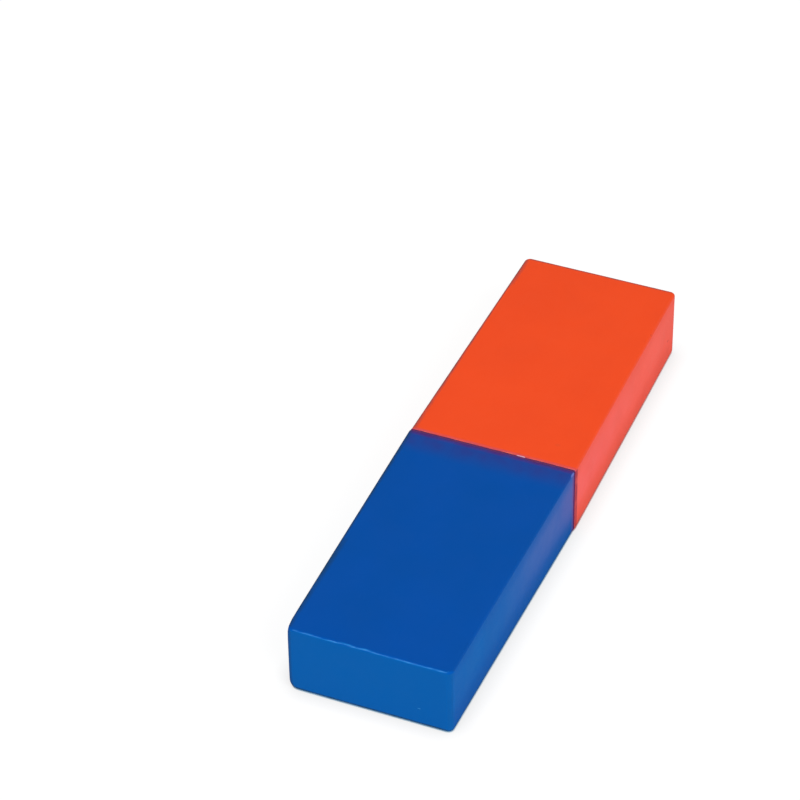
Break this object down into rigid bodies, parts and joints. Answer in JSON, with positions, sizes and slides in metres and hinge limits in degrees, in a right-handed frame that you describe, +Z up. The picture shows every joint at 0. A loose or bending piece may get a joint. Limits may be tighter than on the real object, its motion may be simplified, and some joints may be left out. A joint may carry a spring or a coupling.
{
  "type": "block magnet",
  "caption": "Rectangular bar magnet in a drafted plastic case, blue half and orange-red half glued mouth to mouth over a hidden ferrite bar, for demonstrations and holding.",
  "frame": {"origin": "under the middle of the bar, at the level of its underside", "axes": "+X along the bar from the blue pole face to the red pole face, +Y across the bar, +Z up through its thickness"},
  "size_m": [0.08, 0.0226, 0.0099],
  "materials": {
    "blue_plastic": "moulded, semi-gloss",
    "red_plastic": "moulded, semi-gloss",
    "sintered_ferrite": "sintered, matt dark grey"
  },
  "bodies": {
    "root": {"blue_cap": "blue_plastic", "red_cap": "red_plastic", "ferrite_magnet": "sintered_ferrite"}
  },
  "joints": []
}
